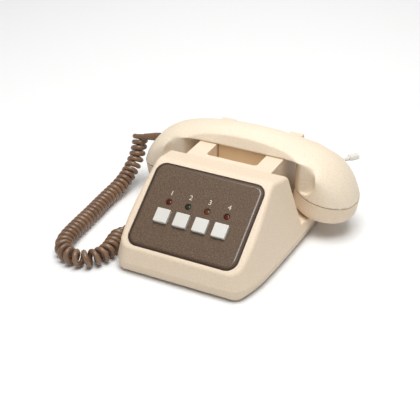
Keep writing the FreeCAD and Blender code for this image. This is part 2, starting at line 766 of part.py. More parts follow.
def handset_crown():
    """The handset's upper form: a long arch with round ends, crowned from front to back."""
    join, centre = handset_end()
    axis = Vector(0, HANDSET_Y, HANDSET_TOP - CROWN_R)
    low = max(centre.z, axis.z)
    side = Vector(centre.x + math.sqrt(END_R ** 2 - (low - centre.z) ** 2), HANDSET_Y, low)
    foot = Vector(side.x, HANDSET_Y, axis.z)
    bend = centre + ((side - centre) + (join - centre)).normalize() * END_R
    right = [Part.Arc(side, bend, join).toShape()]
    if low > axis.z:
        right = [Part.makeLine(foot, side)] + right
    left = [edge.mirror(Vector(0, 0, 0), Vector(1, 0, 0)) for edge in reversed(right)]
    crest = Vector(0, HANDSET_Y, HANDSET_TOP)
    top = Part.Arc(join, crest, Vector(-join.x, HANDSET_Y, join.z)).toShape()
    base = Part.makeLine(Vector(-foot.x, foot.y, foot.z), foot)
    face = Part.Face(Part.Wire(right + [top] + left + [base]))
    return face.revolve(axis, Vector(1, 0, 0), 360)


def scoop_radius():
    """Radius of the round end that just touches the handle's underside and the cup's lip."""
    height = (HANDLE_Z - SEAM_Z) * math.cos(LEAN) + (SCOOP_X - CUP_X) * math.sin(LEAN)
    return (height - CUP_HOLLOW - LIP_WALL) / (1 + math.sin(LEAN) + math.cos(LEAN))


def scoop():
    """Space in front of the right cup's web, between the handle and the lip, round at its outer end."""
    radius = scoop_radius()
    centre = Vector(SCOOP_X - radius, HANDSET_Y - REACH, HANDLE_Z - radius)
    top = centre + Vector(0, 0, radius)
    foot = centre - Vector(math.sin(LEAN), 0, math.cos(LEAN)) * radius
    inner = foot + Vector(-math.cos(LEAN), 0, math.sin(LEAN)) * (2 * CUP_R)
    corner = Vector(inner.x, inner.y, HANDLE_Z)
    arc = Part.Arc(top, centre + Vector(radius, 0, 0), foot).toShape()
    lines = [Part.makeLine(foot, inner), Part.makeLine(inner, corner), Part.makeLine(corner, top)]
    return Part.Face(Part.Wire([arc] + lines)).extrude(Vector(0, REACH - WEB_HALF, 0))


def handle_wire(inset, z):
    """Outline of the handset from above: two round cups and a drawn-in handle."""
    cup, neck, half = CUP_R - inset, NECK_R + inset, HANDLE_HALF - inset
    rise = half + neck
    run = math.sqrt((cup + neck) ** 2 - rise ** 2)
    centre = Vector(CUP_X - run, HANDSET_Y + rise, z)
    touch = Vector(CUP_X, HANDSET_Y, z) + Vector(-run, rise, 0) * (cup / (cup + neck))
    foot = Vector(centre.x, HANDSET_Y + half, z)
    swing = math.degrees(math.atan2(run, rise))
    bend = centre + unit(-90 + swing / 2) * neck
    tip = Vector(CUP_X + cup, HANDSET_Y, z)
    quarter = unit((90 + swing) / 2) * cup + Vector(CUP_X, HANDSET_Y, z)
    arcs = [Part.Arc(tip, quarter, touch).toShape(), Part.Arc(touch, bend, foot).toShape()]
    line = Part.makeLine(foot, Vector(-foot.x, foot.y, z))
    back_left = [edge.mirror(Vector(0, 0, 0), Vector(1, 0, 0)) for edge in reversed(arcs)]
    upper = arcs + [line] + back_left
    lower = [edge.mirror(Vector(0, HANDSET_Y, 0), Vector(0, 1, 0)) for edge in reversed(upper)]
    return Part.Wire(upper + lower)


def cup_block():
    """The right cup from its seam up to the handle, scooped on both sides of a web at its inner side."""
    block = Part.makeCylinder(CUP_R, HANDLE_Z - GIRDLE_Z, Vector(CUP_X, HANDSET_Y, GIRDLE_Z))
    below = box(-REACH, REACH, -REACH, REACH, -REACH, 0)
    hollow = Part.makeCylinder(CUP_R - CUP_WALL, CUP_HOLLOW, Vector(0, 0, 0))
    front = scoop()
    rear = front.mirror(Vector(0, HANDSET_Y, 0), Vector(0, 1, 0))
    return block.cut([front, rear, cup_place(below, 1), cup_place(hollow, 1)])


def handset_shell():
    """One-piece handset body with two cups and a wire way along the handle."""
    rise = TOP_Z - HANDLE_Z
    wires = [handle_wire(0, HANDLE_Z), handle_wire(HANDLE_TAPER * rise, TOP_Z)]
    right = cup_block()
    left = right.mirror(Vector(0, 0, 0), Vector(1, 0, 0))
    body = Part.makeLoft(wires, True, True).fuse([right, left]).removeSplitter()
    return body.common(handset_crown()).cut([wire_way(), bush_hole(*handset_root())])


def wire_way():
    """Narrow passage that follows the arch through the handle and drops into each cup."""
    radius = ARCH_R - WIRE_DEPTH
    centre = Vector(0, HANDSET_Y, HANDSET_TOP - ARCH_R)
    ring = Part.makeTorus(radius, WIRE_R, centre, Vector(0, 1, 0))
    span = box(-WIRE_DROP_X, WIRE_DROP_X, HANDSET_Y - CUP_R, HANDSET_Y + CUP_R, SEAM_Z, TOP_Z)
    high = centre.z + math.sqrt(radius ** 2 - WIRE_DROP_X ** 2)
    ends = [Vector(side * WIRE_DROP_X, HANDSET_Y, high) for side in (1, -1)]
    return ring.common(span).fuse([rod(WIRE_R, end, Vector(end.x, end.y, SEAM_Z)) for end in ends])


def handset_cap(side):
    """Screw-on cap of a cup, with speech holes."""
    outer = CUP_R - CAP_TRIM
    cap = Part.makeCylinder(outer, CAP_H - SEAM_GAP, Vector(0, 0, -CAP_H))
    cap = cap.makeFillet(CAP_EDGE_R, [e for e in cap.Edges if e.CenterOfMass.z < -CAP_H + TOUCH])
    spigot_r = CUP_R - CUP_WALL - SPIGOT_GAP
    cap = cap.fuse(Part.makeCylinder(spigot_r, SPIGOT_H + SEAM_GAP, Vector(0, 0, -SEAM_GAP)))
    inner = spigot_r - SPIGOT_T
    cap = cap.cut(Part.makeCylinder(inner, REACH, Vector(0, 0, -CAP_H + CAP_FLOOR)))
    holes = [Vector(0, 0, -CAP_H)]
    for ring, radius in enumerate(CAP_HOLE_RINGS):
        count = CAP_HOLES_PER_RING * (ring + 1)
        holes += [unit(360 * i / count) * radius + Vector(0, 0, -CAP_H) for i in range(count)]
    cap = cap.cut([Part.makeCylinder(CAP_HOLE_R, CAP_FLOOR, hole) for hole in holes])
    return cup_place(cap.removeSplitter(), side)


def capsule(side):
    """Round speech capsule lying on its cap's floor."""
    radius = CUP_R - CUP_WALL - SPIGOT_GAP - SPIGOT_T - CAPSULE_GAP
    low = -CAP_H + CAP_FLOOR
    disc = Part.makeCylinder(radius, CAPSULE_H, Vector(0, 0, low))
    step = Part.makeCylinder(CAPSULE_STEP_R, CAPSULE_STEP_H, Vector(0, 0, low + CAPSULE_H))
    return cup_place(disc.fuse(step).removeSplitter(), side)


def route_point(points, t):
    """Point of the smooth curve that a cord's points steer, t from 0 to 1."""
    spans = len(points) - 2
    span = min(int(t * spans), spans - 1)
    f = t * spans - span
    here = points[span + 1]
    start = points[0] if span == 0 else (points[span] + here) * 0.5
    end = points[-1] if span == spans - 1 else (here + points[span + 2]) * 0.5
    return start * (1 - f) ** 2 + here * (2 * f * (1 - f)) + end * f ** 2


def biarc(p, along_p, q, along_q):
    """Two tangent arcs from one point and direction to another."""
    gap = q - p
    both = along_p + along_q
    a = 2 * (1 - along_p.dot(along_q))
    b = gap.dot(both)
    reach = (math.sqrt(b * b + a * gap.dot(gap)) - b) / a if a > 1e-6 else gap.dot(gap) / (2 * b)
    joint = (p + q + (along_p - along_q) * reach) * 0.5
    return [arc_from(p, along_p, joint), arc_from(q, along_q * -1, joint)]


def arc_from(start, along, end):
    """Arc from a point along a direction to an end point."""
    chord = end - start
    lean = along.getAngle(chord)
    if lean < 1e-4:
        return Part.makeLine(start, end)
    length = chord.Length
    middle = start + (along + chord.normalize()).normalize() * (length / (2 * math.cos(lean / 2)))
    return Part.Arc(start, middle, end).toShape()


def wound_tube(name, place, stations, wire_d):
    """One unbroken tube along a winding curve, on biarcs between stations."""
    step = 1e-4
    points = [place(t) for t in stations]
    ways = [(place(min(t + step, 1)) - place(max(t - step, 0))).normalize() for t in stations]
    edges = []
    for i in range(len(points) - 1):
        edges += biarc(points[i], ways[i], points[i + 1], ways[i + 1])
    path = Part.Wire(edges)
    ring = Part.Wire([Part.Circle(points[0], ways[0], wire_d / 2).toShape()])
    tube = path.makePipeShell([ring], True, False)
    ideal = math.pi * wire_d ** 2 / 4 * path.Length
    print(name, "length", round(path.Length, 1), "volume ratio", round(tube.Volume / ideal, 4),
          "least gap", round(least_gap(place, path.Length, wire_d), 2), "valid", tube.isValid())
    return tube


def least_gap(place, length, wire_d):
    """Least clear gap between a winding tube and its other turns."""
    count = int(length / (wire_d / 2))
    points = [place(i / count) for i in range(count + 1)]
    run = [0.0]
    for i in range(count):
        run.append(run[-1] + (points[i + 1] - points[i]).Length)
    near = REACH
    for i in range(count):
        for j in range(i + 1, count + 1):
            if run[j] - run[i] > NEAR_RUN * wire_d:
                near = min(near, (points[i] - points[j]).Length)
    return near - wire_d


def curl_lead():
    """Start, end and way of the straight lead that leaves the handset's bush."""
    root, way = handset_root()
    start = root + way * (BOOT_OUT + CURL_GAP)
    return start, start + way * CURL_LEAD, way


def curl_route():
    """Points that steer the curls' axis: down beside the lead, over the table, up to the casing."""
    end, way = curl_lead()[1:]
    fall = Vector(*CURL_FALL).normalize()
    axis = end - way.cross(fall).normalize() * CURL_R
    lie = CURL_R + CURL_WIRE / 2 + CURL_LIE_GAP
    root = handset_root()[0]
    hang = [Vector(root.x + x, root.y + y, lie + z) for x, y, z in CURL_HANG]
    bush, out = bush_places()[1]
    loop = [Vector(bush.x + x, bush.y + y, lie + z) for x, y, z in CURL_LOOP]
    last = bush + out * BUSH_OUT
    return [axis, axis + fall * CURL_DROP] + hang + loop + [last + out * CURL_LEAD, last]


def curl_place():
    """Place function of the curly cord: a straight lead, then curls about the route.
    The curls keep their spacing on the inside of each bend and fan out on its outside."""
    start, end, way = curl_lead()
    route = curl_route()
    line = [route_point(route, i / ROUTE_STEPS) for i in range(ROUTE_STEPS + 1)]
    side = (end - route[0]).normalize()
    run = [0.0]
    turned = [0.0]
    sides = []
    before = line[1] - line[0]
    for i in range(ROUTE_STEPS + 1):
        along = (line[min(i + 1, ROUTE_STEPS)] - line[max(i - 1, 0)]).normalize()
        side = (side - along * side.dot(along)).normalize()
        sides.append((side, along.cross(side)))
        if i > 0:
            step = (line[i] - line[i - 1]).Length
            run.append(run[-1] + step)
            turned.append(turned[-1] + (step - CURL_R * before.getAngle(along)) / CURL_PITCH)
        before = along
    total = run[-1]
    turns = turned[-1]
    lead = CURL_LEAD / (CURL_LEAD + math.hypot(total, 2 * math.pi * CURL_R * turns))

    def place(t):
        if t < lead:
            return start + (end - start) * (t / lead)
        want = (t - lead) / (1 - lead) * turns
        low = min(int(want / turns * ROUTE_STEPS), ROUTE_STEPS - 1)
        while turned[low] > want and low > 0:
            low -= 1
        while turned[low + 1] < want and low < ROUTE_STEPS - 1:
            low += 1
        f = (want - turned[low]) / (turned[low + 1] - turned[low])
        centre = line[low] * (1 - f) + line[low + 1] * f
        across = sides[low][0] * (1 - f) + sides[low + 1][0] * f
        over = sides[low][1] * (1 - f) + sides[low + 1][1] * f
        left = total - run[low] * (1 - f) - run[low + 1] * f
        grow = min(max((left - CURL_WIRE) / CURL_RAMP, 0), 1)
        radius = CURL_R * grow * grow * (3 - 2 * grow)
        angle = 2 * math.pi * want
        return centre + across * (radius * math.cos(angle)) + over * (radius * math.sin(angle))
    return place, lead, turns


def curly_cord():
    """The handset's curly cord as one winding tube."""
    place, lead, turns = curl_place()
    count = math.ceil(TURN_STATIONS * turns)
    stations = [0] + [lead + (1 - lead) * i / count for i in range(count + 1)]
    return wound_tube("curly cord", place, stations, CURL_WIRE)


def coil_z(layer):
    """Height of a coil layer's wire centre."""
    return TIE_T + TIE_GAP + LINE_D / 2 + layer * COIL_STEP


def coil_place(t):
    """Put-away coil: in and out again layer by layer, climbing where the spiral reverses."""
    turn = min(max(t, 0), 1) * (COIL_TURNS * COIL_LAYERS + COIL_EXTRA)
    layer = min(int(turn / COIL_TURNS), COIL_LAYERS - 1)
    inside = turn / COIL_TURNS - layer
    share = inside if layer % 2 else 1 - inside
    radius = COIL_IN_R + COIL_STEP * COIL_TURNS * share
    nearest = round(turn / COIL_TURNS)
    if 0 < nearest < COIL_LAYERS:
        f = min(max((turn - nearest * COIL_TURNS) * 2 + 0.5, 0), 1)
        climb = f * f * (3 - 2 * f)
        height = coil_z(nearest - 1 + climb)
    else:
        height = coil_z(layer)
    angle = 180 - 360 * turn
    return Vector(COIL_X, COIL_Y, height) + unit(angle) * radius


def line_coil():
    """The put-away length of the line cord."""
    count = int((COIL_TURNS * COIL_LAYERS + COIL_EXTRA) * COIL_STATIONS)
    return wound_tube("line coil", coil_place, [i / count for i in range(count + 1)], LINE_D)


def coil_tie():
    """Band round one side of the coil."""
    inner = COIL_IN_R - LINE_D / 2 - TIE_GAP
    outer = COIL_IN_R + COIL_STEP * COIL_TURNS + LINE_D / 2 + TIE_GAP
    low = coil_z(0) - LINE_D / 2 - TIE_GAP
    high = coil_z(COIL_LAYERS - 1) + LINE_D / 2 + TIE_GAP
    band = box(inner - TIE_T, outer + TIE_T, -TIE_W / 2, TIE_W / 2, low - TIE_T, high + TIE_T)
    band = band.cut(box(inner, outer, -TIE_W, TIE_W, low, high))
    band.rotate(Vector(0, 0, 0), Vector(0, 0, 1), TIE_TURN)
    band.translate(Vector(COIL_X, COIL_Y, 0))
    return band


def cord_tube(name, points, diameter):
    """Plain cord: straight runs joined by the largest tangent arcs that the runs allow."""
    edges = []
    radii = []
    last = points[0]
    for before, here, after in zip(points, points[1:], points[2:]):
        back = before - here
        ahead = after - here
        half = back.getAngle(ahead) / 2
        reach = BEND_SHARE * min(back.Length, ahead.Length)
        radius = reach * math.tan(half)
        radii.append(round(radius, 1))
        back.normalize()
        ahead.normalize()
        first = here + back * reach
        second = here + ahead * reach
        middle = here + (back + ahead).normalize() * (radius / math.sin(half) - radius)
        edges.append(Part.makeLine(last, first))
        edges.append(Part.Arc(first, middle, second).toShape())
        last = second
    edges.append(Part.makeLine(last, points[-1]))
    path = Part.Wire(edges)
    ring = Part.Wire([Part.Circle(points[0], points[1] - points[0], diameter / 2).toShape()])
    tube = path.makePipeShell([ring], True, False)
    ideal = math.pi * diameter ** 2 / 4 * path.Length
    print(name, "length", round(path.Length, 1), "volume ratio", round(tube.Volume / ideal, 4),
          "radii", radii)
    return tube


def line_run_points():
    """Route of the line cord from its bush to the coil's first loop."""
    root, out = bush_places()[0]
    first = root + out * BUSH_OUT
    end = coil_place(0)
    along = (coil_place(0.001) - end).normalize()
    level = first + out * LINE_LEAD
    rest = end - along * LINE_LEAD
    return [first, level, rest, end]


def line_cord():
    """Line cord from the casing to the coil."""
    return cord_tube("line cord", line_run_points(), LINE_D)


def line_tail_points():
    """Route of the line cord from the coil's last loop to its plug."""
    start = coil_place(1)
    along = (start - coil_place(0.999)).normalize()
    middle = Vector(COIL_X, COIL_Y, LINE_D / 2)
    return [start, start + along * TAIL_LEAD] + [middle + Vector(*place) for place in TAIL_PLACES]


def line_tail():
    """Line cord from the coil to its plug."""
    return cord_tube("line tail", line_tail_points(), LINE_D)


def line_plug():
    """Small moulded plug on the end of the line cord."""
    points = line_tail_points()
    way = (points[-1] - points[-2]).normalize()
    body = box(-PLUG_W / 2, PLUG_W / 2, 0, PLUG_L, -LINE_D / 2, PLUG_H - LINE_D / 2)
    body = body.makeFillet(PLUG_EDGE_R, [e for e in body.Edges if e.Length > PLUG_L - TOUCH])
    turn = Rotation(Vector(0, 1, 0), way)
    return body.transformed(Placement(points[-1], turn).toMatrix(), True)


def export(name, shape):
    """Write one node."""
    print(name, "solids", len(shape.Solids), "volume", round(shape.Volume, 1), "valid", shape.isValid())
    shape.exportStep("parts/" + name + ".step")


os.makedirs("parts", exist_ok=True)
export("upper_casing", upper_casing())
export("base_tray", base_tray())
export("rubber_feet", rubber_feet())
export("base_screws", base_screws())
export("front_panel", front_panel())
export("switch_frame", switch_frame())
export("lamp_board", lamp_board())
for index in range(BUTTONS):
    export("button_cap_%d" % (index + 1), button_cap(index))
    export("lamp_lens_%d" % (index + 1), lamp_lens(index))
export("hook_bar", hook_bar())
export("hook_switch", hook_switch())
export("main_board", main_board())
export("call_sounder", call_sounder())
export("terminal_block", terminal_block())
line_root, curl_root = bush_places()
export("line_cord_bush", cord_bush(*line_root, BUSH_OUT))
export("casing_cord_bush", cord_bush(*curl_root, BUSH_OUT))
export("handset_shell", handset_shell())
export("earpiece_cap", handset_cap(1))
export("mouthpiece_cap", handset_cap(-1))
export("receiver_capsule", capsule(1))
export("transmitter_capsule", capsule(-1))
export("handset_cord_bush", cord_bush(*handset_root(), BOOT_OUT))
export("curly_cord", curly_cord())
export("line_cord", line_cord())
export("line_coil", line_coil())
export("coil_tie", coil_tie())
export("line_tail", line_tail())
export("line_plug", line_plug())
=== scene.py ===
# %% [markdown]
# # A desk telephone with four station buttons
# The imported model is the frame: every hard piece comes from it, in its place and on its body.
# This lesson adds what a solid modeller can't give well: the two cords, the handset's flowing
# shell, the printed digits, the finishes, the light and the camera. All lengths are in metres.

# %% Load the frame
import math
import bpy
import numpy as np
from mathutils import Matrix, Vector


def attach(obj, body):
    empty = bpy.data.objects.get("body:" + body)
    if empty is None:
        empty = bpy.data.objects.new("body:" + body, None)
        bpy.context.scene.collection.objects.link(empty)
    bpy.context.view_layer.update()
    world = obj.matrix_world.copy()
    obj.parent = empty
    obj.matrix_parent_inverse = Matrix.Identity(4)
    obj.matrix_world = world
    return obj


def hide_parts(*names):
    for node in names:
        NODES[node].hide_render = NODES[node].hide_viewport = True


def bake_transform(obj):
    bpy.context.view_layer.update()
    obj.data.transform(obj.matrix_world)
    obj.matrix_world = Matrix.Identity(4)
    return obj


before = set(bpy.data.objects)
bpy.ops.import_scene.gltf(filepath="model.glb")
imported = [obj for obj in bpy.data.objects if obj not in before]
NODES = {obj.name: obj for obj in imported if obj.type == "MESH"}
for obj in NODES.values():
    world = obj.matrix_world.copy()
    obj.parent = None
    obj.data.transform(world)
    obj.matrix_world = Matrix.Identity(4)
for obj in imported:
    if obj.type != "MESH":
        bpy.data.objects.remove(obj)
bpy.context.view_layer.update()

# %% [markdown]
# ## Camera
# The telephone is seen from its right front corner and from above. The sloping panel is a
# rectangle of known size, so its four edges fix where the camera stood. A camera can be turned
# by hand, but to_track_quat aims it exactly: the camera looks along -Z with Y up. The focus is given
# in pixels of a square picture, and the sensor's width in millimetres turns it into a lens.

# %% Camera
TARGET = Vector((0.008, -0.048, 0.0546))
AZIMUTH = math.radians(26.5)
ELEVATION = math.radians(31.0)
DISTANCE = 0.909
SENSOR_WIDTH = 36.0
FOCUS_PIXELS = 1000.0
PICTURE_PIXELS = 420.0
camera_data = bpy.data.cameras.new("camera")
camera_data.sensor_width = SENSOR_WIDTH
camera_data.lens = SENSOR_WIDTH * FOCUS_PIXELS / PICTURE_PIXELS
camera = bpy.data.objects.new("camera", camera_data)
flat = DISTANCE * math.cos(ELEVATION)
height = DISTANCE * math.sin(ELEVATION)
camera.location = TARGET + Vector((flat * math.sin(AZIMUTH), -flat * math.cos(AZIMUTH), height))
camera.rotation_euler = (TARGET - camera.location).to_track_quat("-Z", "Y").to_euler()
bpy.context.scene.collection.objects.link(camera)
bpy.context.scene.camera = camera
bpy.context.scene.view_settings.view_transform = "Standard"
print("camera at", [round(c, 4) for c in camera.location])


# %% [markdown]
# ## Cords
# A cord lies as one smooth line. It could be drawn point by point, but a spline that a few
# points steer bends evenly by itself. Each cord here is one open spline of order 3, and a mesh
# that winds about the route reads its places from that same spline.

# %% A curve that points steer
CORD_ROUNDNESS = 5
CORD_STEPS = 8


def route_curve(name, points, radius=0.0):
    """A curve of one open spline of order 3, steered by the points. The round bevel of one metre
    is scaled by the points' own radius, which keeps the curve's measured box tight."""
    data = bpy.data.curves.new(name, "CURVE")
    data.dimensions = "3D"
    data.bevel_depth = 1.0 if radius else 0.0
    data.bevel_resolution = CORD_ROUNDNESS
    data.resolution_u = CORD_STEPS
    data.use_fill_caps = True
    spline = data.splines.new("NURBS")
    spline.points.add(len(points) - 1)
    spline.points.foreach_set("co", np.column_stack([points, np.ones(len(points))]).ravel())
    spline.points.foreach_set("radius", np.full(len(points), radius))
    spline.order_u = 3
    spline.use_endpoint_u = True
    curve = bpy.data.objects.new(name, data)
    bpy.context.scene.collection.objects.link(curve)
    return curve


# %% Places along a route
MEASURE_STEPS = 64


def mesh_of(shape):
    """The shape's finished mesh, with its modifiers applied."""
    bpy.context.view_layer.update()
    return bpy.data.meshes.new_from_object(shape.evaluated_get(bpy.context.evaluated_depsgraph_get()))


def route_points(points, count):
    """Places at equal steps along the route's spline, and the route's length."""
    curve = route_curve("route", points)
    curve.data.resolution_u = MEASURE_STEPS
    mesh = mesh_of(curve)
    line = np.empty(len(mesh.vertices) * 3)
    mesh.vertices.foreach_get("co", line)
    line = line.reshape(-1, 3)
    bpy.data.meshes.remove(mesh)
    bpy.data.objects.remove(curve)
    steps = np.linalg.norm(np.diff(line, axis=0), axis=1)
    run = np.concatenate([[0.0], np.cumsum(steps)])
    want = np.linspace(0.0, run[-1], count)
    return np.column_stack([np.interp(want, run, line[:, k]) for k in range(3)]), run[-1]


# %% A tube from rings
def unit_rows(rows):
    """Each row divided by its length."""
    return rows / np.linalg.norm(rows, axis=1, keepdims=True)


def tube_rings(wire, outward, radius, sides=14):
    """Rings about a wire: the wire's place plus radius times (cos b, sin b) in the plane square
    to the wire, where b starts on the outward side."""
    way = unit_rows(np.gradient(wire, axis=0))
    first = unit_rows(outward - way * np.sum(outward * way, axis=1, keepdims=True))
    second = np.cross(way, first)
    turn = np.linspace(0.0, 2.0 * np.pi, sides, endpoint=False)
    ring = first[:, None] * np.cos(turn)[None, :, None] + second[:, None] * np.sin(turn)[None, :, None]
    return wire[:, None] + ring * radius


def tube_mesh(name, rings):
    """A closed tube from rings of points, shape (rings, points, 3), with flat ends."""
    count, sides, _ = rings.shape
    index = np.arange(count * sides).reshape(count, sides)
    after = np.roll(index, -1, axis=1)
    quads = np.stack([index[:-1], after[:-1], after[1:], index[1:]], axis=-1).reshape(-1, 4)
    mesh = bpy.data.meshes.new(name)
    faces = quads.tolist() + [index[0][::-1].tolist(), index[-1].tolist()]
    mesh.from_pydata(rings.reshape(-1, 3).tolist(), [], faces)
    mesh.shade_smooth()
    mesh.update()
    piece = bpy.data.objects.new(name, mesh)
    bpy.context.scene.collection.objects.link(piece)
    return piece


# %% [markdown]
# ## The curly cord
# The handset's cord is a round lead wound in tight curls. It leaves the handset's bush, hangs,
# lies in a loop on the table and climbs to the bush in the casing's left side. A Screw modifier
# makes a straight spring only, so the curls are worked out along the route: the angle grows by
# one turn for each pitch of length on the inside of a bend, and the curls fan out on its outside.

# %% The curly cord's route
CURL_WIRE = 0.0052
CURL_R = 0.0059
CURL_PITCH = 0.0059
CURL_RAMP = 0.018
CURL_LEAD = np.array([(-0.1206, 0.05594, 0.05328), (-0.12748, 0.05546, 0.05204)])
CURL_ROUTE = np.array([
    (-0.12755, 0.06109, 0.05026), (-0.12755, 0.05838, 0.04168), (-0.12738, 0.0525, 0.0319),
    (-0.12838, 0.045, 0.0234), (-0.12868, 0.034, 0.0164), (-0.12928, 0.0185, 0.0115),
    (-0.13048, 0.002, 0.0093), (-0.12988, -0.016, 0.0089), (-0.12823, -0.035, 0.0089),
    (-0.12743, -0.054, 0.0089), (-0.12643, -0.073, 0.0089), (-0.12463, -0.091, 0.0089),
    (-0.11763, -0.1055, 0.0089), (-0.10443, -0.1125, 0.0089), (-0.09063, -0.111, 0.0089),
    (-0.08163, -0.102, 0.0089), (-0.07783, -0.09, 0.0091), (-0.07963, -0.077, 0.0099),
    (-0.08123, -0.064, 0.0114), (-0.08061, -0.05277, 0.01401), (-0.07677, -0.04718, 0.01576)])


# %% The curls
LEAD_STEPS = 8


def smooth_step(value):
    """Rises from 0 to 1 with flat ends: t squared times (3 minus 2 t)."""
    t = np.clip(value, 0.0, 1.0)
    return t * t * (3.0 - 2.0 * t)


def curly_wire(route, lead, count=1400):
    """Straight lead, then a helix: the route's centre plus radius times (cos a, sin a) across it.
    The angle a grows by one turn for each pitch of length on the inside of the bends."""
    centre, length = route_points(route, count)
    along = unit_rows(np.gradient(centre, axis=0))
    across = unit_rows(np.cross(along, [0.0, 0.0, 1.0]))
    over = np.cross(along, across)
    share = np.linspace(0.0, 1.0, count)
    radius = CURL_R * smooth_step(((1.0 - share) * length - CURL_WIRE) / CURL_RAMP)
    first = lead[1] - route[0]
    step = np.linalg.norm(np.diff(centre, axis=0), axis=1)
    bend = np.linalg.norm(np.diff(along, axis=0), axis=1)
    turned = np.concatenate([[0.0], np.cumsum((step - CURL_R * bend) / CURL_PITCH)])
    angle = np.arctan2(first @ over[0], first @ across[0]) + 2.0 * np.pi * turned
    outward = across * np.cos(angle)[:, None] + over * np.sin(angle)[:, None]
    straight = lead[0] + (lead[1] - lead[0]) * np.linspace(0.0, 1.0, LEAD_STEPS, endpoint=False)[:, None]
    wire = np.vstack([straight, centre + outward * radius[:, None]])
    return wire, np.vstack([np.repeat(outward[:1], len(straight), axis=0), outward])


# %% The curly cord's piece
curly_path, curly_outward = curly_wire(CURL_ROUTE, CURL_LEAD)
curly = tube_mesh("curly_cord_visual", tube_rings(curly_path, curly_outward, CURL_WIRE / 2.0))
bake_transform(curly)
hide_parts("curly_cord")

# %% [markdown]
# ## The line cord
# The pale round cord to the wall leaves the rear of the casing. Most of it is put away as a tied
# coil behind the telephone, and its end lies free with a small plug. The coil could be stacked
# rings, but a real one is one length, so one spline runs from the bush through every turn.

# %% The line cord's route
LINE_D = 0.004
COIL = dict(x=-0.016, y=0.150, inner=0.015, step=0.0046, turns=3, layers=4, extra=0.25, low=0.0031)
LINE_RUN = np.array([(-0.0448, 0.1097, 0.018), (-0.0448, 0.1237, 0.018), (-0.04569, 0.13603, 0.0031)])
LINE_TAIL = np.array([(0.00196, 0.18108, 0.0169), (0.020, 0.179, 0.008), (0.036, 0.1805, 0.002),
                      (0.047, 0.187, 0.002), (0.057, 0.199, 0.002)])


def coil_points(per_turn=24):
    """Turns that spiral in and out layer by layer: radius = inner + step times turns times the share
    of the layer done; the height climbs by a smooth step in the half turn where the spiral reverses."""
    total = COIL["turns"] * COIL["layers"] + COIL["extra"]
    turn = np.linspace(0.0, total, int(total * per_turn) + 1)
    layer = np.minimum((turn / COIL["turns"]).astype(int), COIL["layers"] - 1)
    inside = turn / COIL["turns"] - layer
    share = np.where(layer % 2 == 1, inside, 1.0 - inside)
    radius = COIL["inner"] + COIL["step"] * COIL["turns"] * share
    nearest = np.round(turn / COIL["turns"])
    lift = smooth_step((turn - nearest * COIL["turns"]) * 2.0 + 0.5)
    climbing = (nearest > 0) & (nearest < COIL["layers"])
    level = np.where(climbing, nearest - 1.0 + lift, layer)
    angle = np.pi - 2.0 * np.pi * turn
    return np.column_stack([COIL["x"] + radius * np.cos(angle), COIL["y"] + radius * np.sin(angle),
                            COIL["low"] + level * COIL["step"]])


# %% The line cord's piece
LINE_STEPS = 6000
line_route = np.vstack([LINE_RUN, coil_points(), LINE_TAIL])
line_length = route_points(line_route, LINE_STEPS)[1]
line = route_curve("line_cord_visual", line_route, radius=LINE_D / 2.0)
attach(line, "base")
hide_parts("line_cord", "line_coil", "line_tail")
print("line cord", round(line_length, 3), "m")


# %% [markdown]
# ## The handset's shell
# On the real handset the handle's two front edges are crisp in the middle and melt away over the
# cups, and the space under the handle is a soft dish. Fillets of changing radius would do it, but
# they fail easily where many edges meet. So a copy of the frame's shell is rebuilt in even quads
# and relaxed: each point drifts towards the mean of its neighbours, where the form is soft.

# %% Even quads
SAME_PLACE = 0.000001
QUAD_SIZE = 0.001


def remeshed(name, source):
    """Copy of a mesh with its doubles merged, rebuilt in small even quads."""
    piece = bpy.data.objects.new(name, source.copy())
    bpy.context.scene.collection.objects.link(piece)
    piece.modifiers.new("merge", "WELD").merge_threshold = SAME_PLACE
    grid = piece.modifiers.new("grid", "REMESH")
    grid.mode = "VOXEL"
    grid.voxel_size = QUAD_SIZE
    mesh = mesh_of(piece)
    piece.modifiers.clear()
    piece.data = mesh
    return piece


# %% Where the handset is soft
HANDLE_Z = 0.0753
HANDSET_Y = 0.057
CUP_X = 0.083
CUP_R = 0.032
SEAM_Z = 0.0405
CUP_TILT = math.radians(10.0)
SCOOP_X = 0.080
SCOOP_R = 0.01448
HANDLE_SHARE = 0.03
MELT_START = 0.058
MELT_LENGTH = 0.030
CRISP_SHARE = 0.9
CRISP_BAND = 0.004
WALL_DEPTH = 0.008
WALL_BAND = 0.005
SEAM_BAND = 0.006


def handset_softness(place):
    """Share of relaxing at each point: hardly any on the handle, full on the cups, none at the seam,
    and little where the scoop under the handle meets the outer wall."""
    x, y, z = np.abs(place[:, 0]), place[:, 1] - HANDSET_Y, place[:, 2]
    along = HANDLE_SHARE + (1.0 - HANDLE_SHARE) * smooth_step((x - MELT_START) / MELT_LENGTH)
    scoop = np.hypot(np.maximum(x - (SCOOP_X - SCOOP_R), 0.0), z - (HANDLE_Z - SCOOP_R)) - SCOOP_R
    wall = np.hypot(x - CUP_X, y) - CUP_R
    crisp = (1.0 - smooth_step(np.abs(scoop) / CRISP_BAND)) * smooth_step((wall + WALL_DEPTH) / WALL_BAND)
    seam = (x - CUP_X) * math.sin(CUP_TILT) + (z - SEAM_Z) * math.cos(CUP_TILT)
    return along * (1.0 - CRISP_SHARE * crisp) * smooth_step(seam / SEAM_BAND)


# %% Relaxing
RELAX_ROUNDS = 200
RELAX_STEP = 0.5
GIVE_BACK = 0.25


